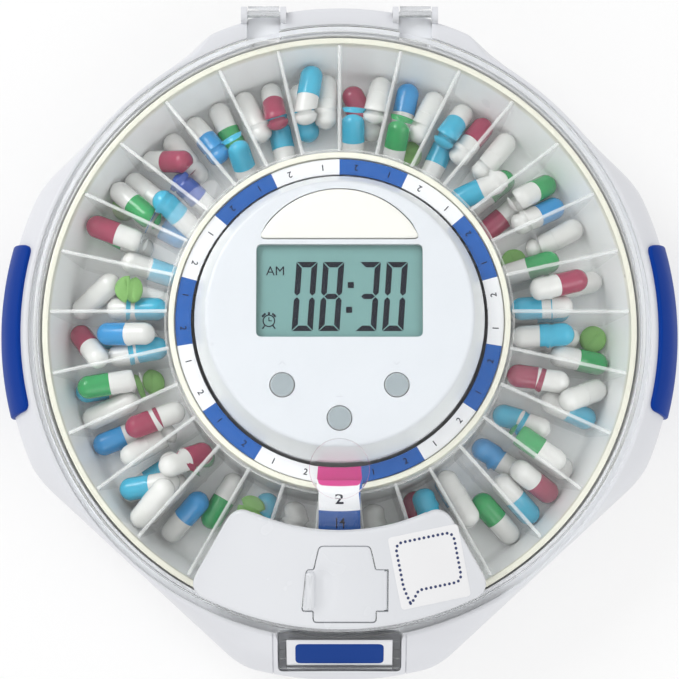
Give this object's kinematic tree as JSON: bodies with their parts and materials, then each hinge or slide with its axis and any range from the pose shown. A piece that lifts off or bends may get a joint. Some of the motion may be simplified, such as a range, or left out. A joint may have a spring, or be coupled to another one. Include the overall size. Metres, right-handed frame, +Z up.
{
  "type": "electronic pill box",
  "caption": "Round automatic pill box: a motor turned tray of dose slots under a clear hinged lid, with a clock display, alarm light and dispensing hatch.",
  "frame": {"origin": "centre of the bounding box's underside, level with the bottom of the rubber feet", "axes": "+Z up, square to the face of the display; -Y towards the release button and hatch at the front; +X to the right as the digits are read"},
  "size_m": [0.2074, 0.2074, 0.0605],
  "materials": {
    "housing_white": "satin",
    "inner_white": "satin",
    "grip_blue": "satin",
    "lid_clear": "clear, polished",
    "lens_clear": "clear, polished",
    "window_clear": "clear, polished",
    "hatch_white": "satin",
    "tray_milky": "milky, satin",
    "ring_print": "printed in white, blue and magenta",
    "display_white": "satin",
    "lcd_face": "satin",
    "alarm_cream": "milky",
    "button_grey": "satin",
    "release_blue": "gloss, with a white border",
    "foot_rubber": "matt",
    "steel": "plain",
    "brass": "plain",
    "cell_jacket": "printed film",
    "board_green": "solder mask",
    "black_plastic": "satin",
    "led_red": "clear",
    "lead_red": "satin",
    "lead_black": "satin",
    "gear_cream": "satin"
  },
  "bodies": {
    "base": {"alarm_leds": "led_red", "alarm_lens": "alarm_cream", "battery_1": "cell_jacket", "battery_2": "cell_jacket", "battery_3": "cell_jacket", "battery_4": "cell_jacket", "battery_box": "inner_white", "battery_contacts_front": "steel", "battery_contacts_rear": "steel", "bottom_pan": "housing_white", "buzzer": "black_plastic", "drive_deck": "inner_white", "drive_motor": "steel", "foot_front_left": "foot_rubber", "foot_front_right": "foot_rubber", "foot_rear_left": "foot_rubber", "foot_rear_right": "foot_rubber", "grip_left": "grip_blue", "grip_right": "grip_blue", "head_cover": "display_white", "hinge_pin_left": "steel", "hinge_pin_right": "steel", "home_sensor": "black_plastic", "housing_screw_front_left": "steel", "housing_screw_front_right": "steel", "housing_screw_rear_left": "steel", "housing_screw_rear_right": "steel", "lcd_frame": "inner_white", "lcd_panel": "lcd_face", "lcd_window": "window_clear", "lead_black": "lead_black", "lead_red": "lead_red", "lock_barrel": "steel", "lock_nut": "steel", "main_board": "board_green", "motor_screw_left": "steel", "motor_screw_right": "steel", "release_spring": "steel", "tact_switch_left": "black_plastic", "tact_switch_middle": "black_plastic", "tact_switch_right": "black_plastic", "upper_housing": "housing_white"},
    "lid": {"lid_shell": "lid_clear", "magnifier_lens": "lens_clear", "hatch_plate": "hatch_white"},
    "hatch": {"hatch_door": "hatch_white"},
    "tray": {"tray_pan": "tray_milky", "tray_dividers": "tray_milky", "tray_gear_ring": "inner_white", "dose_ring": "ring_print"},
    "gear": {"drive_gear": "gear_cream"},
    "release": {"release_button": "release_blue"},
    "lock": {"lock_cylinder": "brass", "lock_cam": "steel"},
    "battery_lid": {"battery_door": "housing_white"},
    "left_key": {"button_left": "button_grey"},
    "middle_key": {"button_middle": "button_grey"},
    "right_key": {"button_right": "button_grey"}
  },
  "joints": [
    {"name": "lid_hinge", "type": "hinge", "parent": "base", "child": "lid", "pos_m": [0, 0.0995, 0.031], "axis": [-1, 0, 0], "range_deg": [0, 100]},
    {"name": "hatch_hinge", "type": "hinge", "parent": "lid", "child": "hatch", "pos_m": [0.0132, -0.07817, 0.04253], "axis": [0, 0.8817, 0.4719], "range_deg": [0, 100]},
    {"name": "tray_turn", "type": "hinge", "parent": "base", "child": "tray", "pos_m": [0, 0.0023, 0.0063], "axis": [0, 0, 1], "continuous": true},
    {"name": "gear_turn", "type": "hinge", "parent": "base", "child": "gear", "pos_m": [0, 0.03485, 0.0207], "axis": [0, 0, 1], "continuous": true},
    {"name": "release_slide", "type": "slide", "parent": "base", "child": "release", "axis": [0, 0, -1], "range_m": [0, 0.002], "stiffness_N_per_m": 400, "springref_m": -0.001, "deforming": ["release_spring"]},
    {"name": "lock_turn", "type": "hinge", "parent": "base", "child": "lock", "pos_m": [0, -0.0901, 0.0104], "axis": [0, 1, 0], "range_deg": [0, 90]},
    {"name": "battery_lid_hinge", "type": "hinge", "parent": "base", "child": "battery_lid", "pos_m": [0, 0.0315, 0.0015], "axis": [1, 0, 0], "range_deg": [0, 80]},
    {"name": "left_key_slide", "type": "slide", "parent": "base", "child": "left_key", "axis": [0, 0, -1], "range_m": [0, 0.0007], "stiffness_N_per_m": 1200, "springref_m": -0.0003},
    {"name": "middle_key_slide", "type": "slide", "parent": "base", "child": "middle_key", "axis": [0, 0, -1], "range_m": [0, 0.0007], "stiffness_N_per_m": 1200, "springref_m": -0.0003},
    {"name": "right_key_slide", "type": "slide", "parent": "base", "child": "right_key", "axis": [0, 0, -1], "range_m": [0, 0.0007], "stiffness_N_per_m": 1200, "springref_m": -0.0003}
  ],
  "couplings": [
    {"joint": "gear_turn", "follows": "tray_turn", "ratio": 3.3333}
  ]
}
